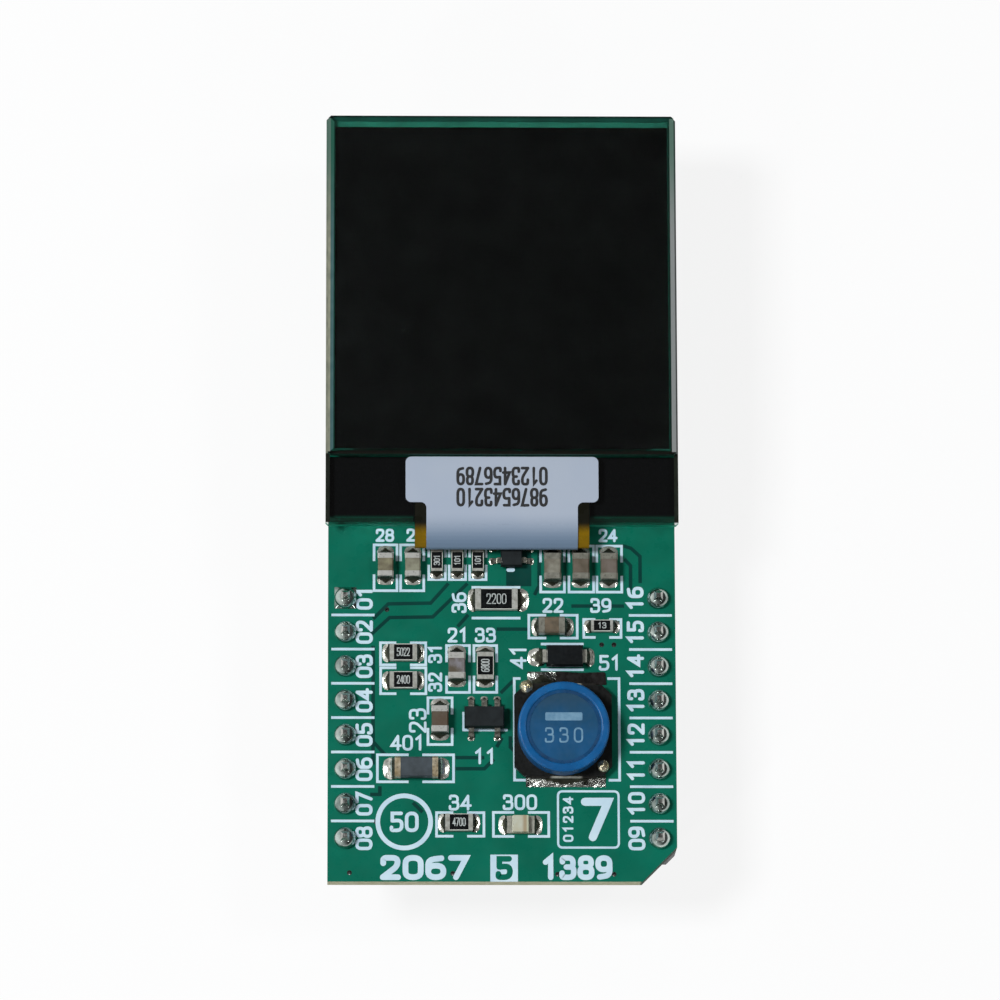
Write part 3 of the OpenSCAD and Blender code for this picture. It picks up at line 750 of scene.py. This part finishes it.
def sink_channels():
    """Darker lines and a patch where the copper under the mask is cut away; the patch reaches out round the
    load switch as painted shade.
    """
    cuts = Piece()
    for layer, line in enumerate(CHANNELS):
        cuts.stroke(line, CHANNEL_WIDTH, 0, CHANNEL + layer * CHANNEL / 8)
    # partly painted shade: the patch is widened to cover the shade round the load switch body
    cuts.block(0.33, 21.85, 2.18, 24.6, 0, CHANNEL / 4)
    cuts.finish("copper_gaps_and_shade", mask_channel_and_shade, "circuit_board")


VIAS = [(-8.4, 20.1), (-9.2, 4.4), (-11.1, 0.65), (-3.6, 0.6), (0.2, 0.6), (4, 0.55), (8.1, 0.55),
        (7.3, 17.5), (8.2, 17.5)]
VIA_RADIUS = 0.174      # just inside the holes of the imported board
VIA_BORE = 0.14
VIA_LIP = 0.005


def line_vias():
    barrels = Piece()
    thickness = size_of("circuit_board").z
    for x, y in VIAS:
        outer, inner = vectors(circle(x, y, VIA_RADIUS)), vectors(circle(x, y, VIA_BORE))
        barrels.band(outer, inner, -thickness, VIA_LIP, True)
    barrels.finish("via_barrels", bare_copper)


PAD = 0.03              # thickness of the plating on a pad
PAD_RADIUS = 0.78
PAD_HOLE = 0.5
CUSHION = 0.8           # half the side of the first pin's square pad
CUSHION_HEIGHT = 0.3


def add_cushion(piece, x, y, half, height):
    """A square pillow of solder that falls off towards its sides and corners."""
    steps = 12
    rows = []
    for j in range(steps + 1):
        v = 2 * j / steps - 1
        row = []
        for i in range(steps + 1):
            u = 2 * i / steps - 1
            lift = PAD + height * (1 - u ** 4) * (1 - v ** 4)
            row.append(piece.mesh.verts.new(spot(x + half * u, y + half * v, lift)))
        rows.append(row)
    for j in range(steps):
        for i in range(steps):
            piece.mesh.faces.new((rows[j][i], rows[j][i + 1], rows[j + 1][i + 1], rows[j + 1][i]))
    close_under(piece, rows)


def close_under(piece, rows):
    """Walls down to the board round a grid of points, and a floor under it."""
    rim = rows[0][:] + [row[-1] for row in rows[1:]] + rows[-1][-2::-1] + [row[0] for row in rows[-2:0:-1]]
    skirt = [piece.mesh.verts.new(Vector((vert.co.x, vert.co.y, board_high.z))) for vert in rim]
    for k in range(len(rim)):
        m = (k + 1) % len(rim)
        piece.mesh.faces.new((rim[k], rim[m], skirt[m], skirt[k]))
    piece.mesh.faces.new(skirt[::-1])


def plate_pads():
    """Tinned rings round the pins, and a square cushion of solder round the first of them."""
    pads = Piece()
    for side in (-1, 1):
        for i in range(PINS):
            if side > 0 or i < PINS - 1:
                x, y = side * PIN_X, FIRST_PIN + i * PITCH
                outer, inner = vectors(circle(x, y, PAD_RADIUS, 32)), vectors(circle(x, y, PAD_HOLE, 32))
                pads.band(outer, inner, 0, PAD, True)
    pads.finish("pin_pads", pad_plate)
    cushion = Piece()
    add_cushion(cushion, -PIN_X, FIRST_PIN + (PINS - 1) * PITCH, CUSHION, CUSHION_HEIGHT)
    cushion.finish("first_pin_pad", pin_solder, smooth=True)


sink_channels()
line_vias()
plate_pads()

# ---------- figures on the chips, the coil and the label ----------

CHIP_FIGURES = ("301", "101", "101", "2200", "13", "5022", "2400", "6800", "4700")
FILM_INK = 0.01         # thickness of the ink on chips, coil and label
GLAZE = 0.02            # thickness of a resistor's glaze
WIDE_CHIP = 1.4         # only the widest resistor reaches the highest glaze
FIGURE_SHARE = 0.46     # of a resistor's width and length that its figures take up
FIGURE_GAP = 0.4        # between two figures, as a share of a figure's width


def mark_chips():
    ink = Piece()
    for node, figures in zip(RESISTORS, CHIP_FIGURES):
        size = size_of(node)
        short, long = min(size.x, size.y), max(size.x, size.y)
        height = top_of("resistor_coats") if short > WIDE_CHIP else top_of(node) + GLAZE
        x, y = centre_of(node)
        tall = short * FIGURE_SHARE
        room = long * FIGURE_SHARE
        width = min(FIGURE_WIDTH, room / tall / ((1 + FIGURE_GAP) * len(figures) - FIGURE_GAP))
        turn = 0 if size.x > size.y else 90
        write(ink, figures, x, y, tall, 0.07, height, height + FILM_INK, turn, width, FIGURE_GAP * width)
    ink.finish("chip_figures", code_ink)


def mark_coil():
    x, y = centre_of("inductor_core")
    top = top_of("inductor_core")
    high = top + 0.012
    ink = Piece()
    write(ink, "330", x, y - 0.62, 1.0, 0.13, top, high, 0, 0.55, 0.5)
    half, low_edge, high_edge = 1.35, y + 0.45, y + 1.05
    bar = soften([(x - half, low_edge), (x + half, low_edge), (x + half, high_edge), (x - half, high_edge)],
                 0.12, True)
    ink.prism([(p.x, p.y) for p in bar], top, high)
    ink.finish("coil_figures", mark_ink)


def mark_label():
    """Two rows of figures that read from the display end."""
    top = top_of("display_cover_label")
    ink = Piece()
    for figures, y in (("0123456789", 29.6), ("9876543210", 28.02)):
        write(ink, figures, 0.0, y, 1.2, 0.21, top, top + FILM_INK, 180, 0.36, 0.2)
    ink.finish("label_figures", label_ink)


def lacquer_coil():
    """Lacquer that fills the joint between the coil's core and its ring."""
    x, y = centre_of("inductor_shield")
    ring = size_of("inductor_shield").x / 2 - 0.5
    core = size_of("inductor_core").x / 2 - 0.12
    top = top_of("inductor_core")
    fill = Piece()
    outer, inner = vectors(circle(x, y, ring, 96)), vectors(circle(x, y, core, 96))
    fill.band(outer, inner, top - 0.2, top + 0.035, True)
    fill.finish("coil_lacquer", lacquer, smooth=True)


# widths of the ground rims left and right of the panel and along the ledge, and of the painted light strip
# inside the left one
EDGE = 0.17
WIDE_EDGE = 0.32
INNER_EDGE = 0.24
LEDGE_EDGE = 0.3
RIM = 0.006             # thickness of a rim
CORNER = 0.18           # the glass corners are ground off this far
# how far the panel layer's corners are cut, along X and along Y
NEAR_CUT = (1.3, 0.9)
FAR_CUT = (1.1, 2.05)
MARGIN_SIDE, MARGIN_NEAR, MARGIN_FAR = 0.1, 0.2, 0.9     # how far the clear margin reaches


def line_panel():
    """The clear margin round three sides of the panel's thin layer, which shows the green board."""
    low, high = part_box("display_panel_layer")
    side, near, far = high.x / MM, (low.y - board_low.y) / MM, (high.y - board_low.y) / MM
    inner = [(side - NEAR_CUT[0], near), (side, near + NEAR_CUT[1]),
             (side, far - FAR_CUT[1]), (side - FAR_CUT[0], far)]
    outer = [(side - NEAR_CUT[0], near - MARGIN_NEAR), (side + MARGIN_SIDE, near - MARGIN_NEAR),
             (side + MARGIN_SIDE, far + MARGIN_FAR), (side - FAR_CUT[0], far + MARGIN_FAR)]
    for run in (inner, outer):
        run += [(-x, y) for x, y in reversed(run)]
    base, roof = (low.z - board_high.z) / MM, (high.z - board_high.z) / MM
    thin = (roof - base) / 4
    margin = Piece()
    margin.band(vectors(outer), vectors(inner), base + thin, roof - thin, False)
    margin.finish("panel_margin", margin_green)


def seam_glass():
    """The ground rims along the sides of the two sheets of glass, with painted shade along the bare ledge
    where the board under the glass lies in shadow, and a painted lit strip inside the left rim.
    """
    seams = Piece()
    ledge = Piece()
    first = (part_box("display_front_glass")[0].y - board_low.y) / MM + CORNER
    for node in ("display_rear_glass", "display_front_glass"):
        x, y = centre_of(node)
        half, reach, _ = size_of(node) / 2
        top = top_of(node)
        last = y + reach - CORNER
        for side, wide in ((-1, EDGE), (1, WIDE_EDGE)):
            edge = x + side * (half - wide / 2)
            seams.stroke([(edge, first), (edge, last)], wide, top, top + RIM)
            if node == "display_rear_glass":
                edge = x + side * (half - LEDGE_EDGE / 2)
                ledge.stroke([(edge, y - reach + CORNER), (edge, first)], LEDGE_EDGE, top, top + RIM)
    seams.finish("glass_rims", seamed_edge)
    # x, half, top and last are now the front glass's
    start = x - half + EDGE
    stop = start + INNER_EDGE
    # painted light: a lit strip inside the left rim, laid over shade
    inner = Piece()
    inner.prism([(start, first), (stop, first + INNER_EDGE), (stop, last - INNER_EDGE), (start, last)],
                top, top + RIM * 2 / 3)
    inner.finish("left_inner_rim", inner_edge)
    ledge.finish("ledge_rims", ledge_rim_shade)


mark_chips()
mark_coil()
mark_label()
lacquer_coil()
line_panel()
seam_glass()

# ---------- solder ----------

THIN = 0.012            # solder is at least this high


def add_joint(piece, x, y, way, width, length, height, seed, taper=0.22, bow=0.14, wedge=True):
    """A joint of solder from a terminal's face out to its pad, hollow across and uneven.

    Its upper end, and with wedge a wedge down its middle, take the second finish: painted shade, the dark
    reflection these joints show next to their terminals and down their middles.
    """
    out = Vector(way)
    side = Vector((-out.y, out.x))
    across, along = 12, 8
    top = []
    for j in range(along + 1):
        v = j / along
        row = []
        for i in range(across + 1):
            u = 2 * i / across - 1
            half = width / 2 * (1.02 + 0.45 * taper * math.sin(math.pi * v) - taper * v * v)
            reach = length * v * (1 - bow * u * u)
            place = Vector((x, y)) + side * half * u + out * reach
            ramp = 0.7 * (1 - v) ** 4 + 0.3 * (1 - v)
            swell = height * ramp * (1 - 0.55 * u * u) + 0.02 * (1 - u * u)
            rough = noise.noise(Vector((place.x * 1.6, place.y * 1.6, seed))) * 0.16 * height
            lift = max(THIN, swell + rough * math.sin(math.pi * min(1, v + 0.15)) + 0.02)
            if abs(u) == 1 or j == along:
                lift *= 0.55
            row.append(piece.mesh.verts.new(spot(place.x, place.y, lift)))
        top.append(row)
    for j in range(along):
        for i in range(across):
            face = piece.mesh.faces.new((top[j][i], top[j][i + 1], top[j + 1][i + 1], top[j + 1][i]))
            from_middle = abs(2 * i + 1 - across)
            # painted shade: these faces take the dark copy of the solder
            if j < 2 or wedge and from_middle < across - 2 * j:
                face.material_index = 1
    close_under(piece, top)


def add_blob(piece, x, y, low, radius, height, seed):
    """A frozen drop of solder."""
    rings, count = 7, 18
    rows = []
    for j in range(rings):
        a = math.pi / 2 * j / (rings - 1)
        row = []
        for i in range(count):
            t = math.tau * i / count
            uneven = 1 + 0.16 * noise.noise(Vector((math.cos(t) * 1.3, math.sin(t) * 1.3, seed + j * 0.3)))
            r = radius * math.cos(a * 0.96) * uneven
            row.append(piece.mesh.verts.new(
                spot(x + r * math.cos(t), y + r * math.sin(t), low + height * math.sin(a) * uneven)))
        rows.append(row)
    for j in range(rings - 1):
        for i in range(count):
            k = (i + 1) % count
            piece.mesh.faces.new((rows[j][i], rows[j][k], rows[j + 1][k], rows[j + 1][i]))
    piece.mesh.faces.new(rows[0][::-1])
    piece.mesh.faces.new(rows[-1])


def chip_joints(piece, node, length, height, seed, far=0.0, skin=0.03, wedge=True):
    """Joints at both ends of a two-ended chip; far lengthens the one at its far end."""
    x, y = centre_of(node)
    size = size_of(node)
    if size.x > size.y:
        ways, half, width = ((1, 0), (-1, 0)), size.x / 2 + skin, size.y + 2 * skin
    else:
        ways, half, width = ((0, 1), (0, -1)), size.y / 2 + skin, size.x + 2 * skin
    for k, way in enumerate(ways):
        reach = length + (far if max(way) > 0 else 0)
        add_joint(piece, x + way[0] * half, y + way[1] * half, way, width, reach, height, seed + k * 3.7,
                  wedge=wedge)


def solder_ends(joints):
    for i, node in enumerate(CAPACITORS):
        chip_joints(joints, node, 0.52, 0.6, i * 1.9, far=0.18)
    for i, node in enumerate(RESISTORS):
        chip_joints(joints, node, 0.54, 0.4, 20 + i * 2.3, far=0.28 if node == "resistor_4" else 0)
    chip_joints(joints, "bead_body", 0.86, 0.8, 51, wedge=False)
    chip_joints(joints, "led_base", 0.6, 0.4, 57)


LEAD_PITCH = 0.95
LEAD_REACH = 0.8 + 0.55     # from the middle of a package to the ends of its leads


def solder_leads(joints):
    """Joints at the leads of the regulator, the load switch and the diode."""
    for node, steps_up, steps_down, turned in (("regulator_body", (-1, 0, 1), (-1, 1), False),
                                               ("load_switch_body", (-1, 0, 1), (-1, 0, 1), True)):
        x, y = centre_of(node)
        for sign, steps in ((1, steps_up), (-1, steps_down)):
            for s in steps:
                way = (-sign, 0) if turned else (0, sign)
                px = x - sign * LEAD_REACH if turned else x + s * LEAD_PITCH
                py = y + s * LEAD_PITCH if turned else y + sign * LEAD_REACH
                add_joint(joints, px, py, way, 0.5, 0.3, 0.2, s + sign * 5.1)
    x, y = centre_of("diode_body")
    for sign in (1, -1):
        add_joint(joints, x + sign * 1.65, y, (sign, 0), 1.25, 0.55 if sign > 0 else 1.05, 0.5, 71 + sign)


def solder_coil():
    """The coil's two strips of rough solder, its spilt flux and the drops on its wire ends."""
    x, y = centre_of("inductor_base")
    strips = Piece()
    add_joint(strips, x - 1.5, y + 3.48, (0, 1), 2.1, 1.0, 0.52, 81, 0, 0)
    add_joint(strips, x + 0.2, y - 3.2, (0, -1), 5.7, 0.85, 0.9, 79, 0, 0)
    strips.finish("coil_solder", rough_solder, "solder", smooth=True, second=solder_painted_shade)
    flux = Piece()
    spill = soften([(x - 0.5, y + 3.5), (x + 3.2, y + 3.5), (x + 3.1, y + 4.45), (x + 1.4, y + 4.4),
                    (x - 0.5, y + 4.5)], 0.12, True)
    flux.prism([(p.x, p.y) for p in spill], 0, 0.1)
    flux.finish("coil_flux", flux_brown)
    lugs = Piece()
    add_blob(lugs, x - 2.66, y + 3.25, 0.7, 0.5, 0.42, 90)
    add_blob(lugs, x + 2.9, y - 2.6, 0.7, 0.46, 0.4, 91)
    lugs.finish("coil_lugs", lug_solder, "solder", smooth=True)


BED = 0.05              # thickness of the flat solder under a terminal
BED_LENGTH = 0.32


def bed_terminals(joints):
    """Flat solder under every terminal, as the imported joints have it."""
    for node in CAPACITORS + RESISTORS + ["bead_body", "led_base"]:
        x, y = centre_of(node)
        half = size_of(node) / 2
        for sign in (1, -1):
            if half.x > half.y:
                a, b = x + sign * (half.x - BED_LENGTH), x + sign * half.x
                joints.block(min(a, b), y - half.y, max(a, b), y + half.y, 0, BED)
            else:
                a, b = y + sign * (half.y - BED_LENGTH), y + sign * half.y
                joints.block(x - half.x, min(a, b), x + half.x, max(a, b), 0, BED)


def solder_parts():
    joints = Piece()
    solder_ends(joints)
    solder_leads(joints)
    solder_coil()
    bed_terminals(joints)
    thing = joints.finish("solder_joints", bright_solder, "solder", smooth=True, second=solder_painted_shade)
    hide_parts("component_solder")


solder_parts()

# ---------- studio ----------


def add_lamp(name, x, y, z, width, depth, watts, colour):
    """A soft lamp that is aimed at the middle of the module; places and sizes are in metres."""
    data = bpy.data.lights.new(name, "AREA")
    data.shape = "RECTANGLE"
    data.size = width
    data.size_y = depth
    data.energy = watts
    data.color = colour
    lamp = bpy.data.objects.new(name, data)
    bpy.context.scene.collection.objects.link(lamp)
    place = Vector((x, y, z))
    aim = (cad_low + cad_high) / 2
    turn = (aim - place).to_track_quat("-Z", "Y").to_matrix()
    lamp.matrix_world = Matrix.Translation(place) @ turn.to_4x4()


add_lamp("key_softbox", -0.34, 0.04, 0.58, 0.14, 0.14, 3.5, (0.96, 0.98, 1.0))
add_lamp("side_softbox", 0.36, 0.1, 0.5, 0.1, 0.1, 0.5, (0.97, 0.99, 1.0))
add_lamp("left_strip", -0.3, -0.34, 0.36, 0.04, 0.1, 0.3, (1.0, 1.0, 1.0))
add_lamp("right_strip", 0.3, -0.34, 0.36, 0.04, 0.1, 0.25, (1.0, 1.0, 1.0))


def choose(tree, factor, low, high):
    """A number that goes from low to high by a factor; either end may be a socket."""
    mix = tree.nodes.new("ShaderNodeMix")
    link(tree, factor, mix.inputs["Factor"])
    for label, value in (("A", low), ("B", high)):
        if isinstance(value, float):
            mix.inputs[label].default_value = value
        else:
            link(tree, value, mix.inputs[label])
    return mix.outputs["Result"]


def largest_of(tree, first, second):
    """The larger of two sockets' values."""
    node = tree.nodes.new("ShaderNodeMath")
    node.operation = "MAXIMUM"
    link(tree, first, node.inputs[0])
    link(tree, second, node.inputs[1])
    return node.outputs["Value"]


def kinds_of_ray(tree):
    """Two masks: rays from the camera, and rays from gloss or through glass."""
    path = tree.nodes.new("ShaderNodeLightPath")
    mirrored = largest_of(tree, path.outputs["Is Glossy Ray"], path.outputs["Is Transmission Ray"])
    return path.outputs["Is Camera Ray"], mirrored


FLOOR_HALF = 0.6
FLOOR_GREY = (0.88, 0.88, 0.88, 1)
FLOOR_GLOW = 0.86       # share of the floor's look that is plain white, which leaves the shadow soft
DIFFUSE_SKY = 0.14
OVERHEAD_SKY = 0.075


def add_floor():
    """A pale floor that can't be seen from below."""
    piece = bmesh.new()
    bmesh.ops.create_grid(piece, x_segments=4, y_segments=4, size=FLOOR_HALF)
    data = bpy.data.meshes.new("floor")
    piece.to_mesh(data)
    piece.free()
    floor = bpy.data.objects.new("floor", data)
    floor.location = ((cad_low.x + cad_high.x) / 2, (cad_low.y + cad_high.y) / 2, cad_low.z)
    bpy.context.scene.collection.objects.link(floor)
    look = bpy.data.materials.new("pale_floor")
    look.use_nodes = True
    tree = look.node_tree
    shader = tree.nodes["Principled BSDF"]
    shader.inputs["Base Color"].default_value = FLOOR_GREY
    shader.inputs["Roughness"].default_value = 0.9
    shader.inputs["Specular IOR Level"].default_value = 0.0
    glow = tree.nodes.new("ShaderNodeEmission")
    share = tree.nodes.new("ShaderNodeMath")
    share.operation = "MULTIPLY"
    share.inputs[1].default_value = FLOOR_GLOW
    link(tree, largest_of(tree, *kinds_of_ray(tree)), share.inputs[0])
    lit = mix_shaders(tree, share.outputs["Value"], shader.outputs["BSDF"], glow.outputs["Emission"])
    behind = tree.nodes.new("ShaderNodeNewGeometry")
    clear = tree.nodes.new("ShaderNodeBsdfTransparent")
    surface = mix_shaders(tree, behind.outputs["Backfacing"], lit, clear.outputs["BSDF"])
    link(tree, surface, tree.nodes["Material Output"].inputs["Surface"])
    data.materials.append(look)


def add_world():
    """Even pale light; gloss and glass see a studio that is dim overhead and pale on the left."""
    world = bpy.data.worlds.new("studio")
    bpy.context.scene.world = world
    world.use_nodes = True
    tree = world.node_tree
    sky = tree.nodes["Background"]
    place = tree.nodes.new("ShaderNodeTexCoord")
    parts = tree.nodes.new("ShaderNodeSeparateXYZ")
    link(tree, place.outputs["Generated"], parts.inputs["Vector"])
    sides = spread(tree, parts.outputs["X"], 0.4, -0.75, 0.05, 0.95).outputs["Result"]
    overhead = spread(tree, parts.outputs["Z"], 0.3, 0.85).outputs["Result"]
    studio = choose(tree, overhead, sides, OVERHEAD_SKY)
    from_camera, mirrored = kinds_of_ray(tree)
    seen = choose(tree, mirrored, DIFFUSE_SKY, studio)
    link(tree, choose(tree, from_camera, seen, 1.0), sky.inputs["Strength"])
    sky.inputs["Color"].default_value = (1, 1, 1, 1)


add_floor()
add_world()
bpy.context.scene.view_settings.view_transform = "Standard"
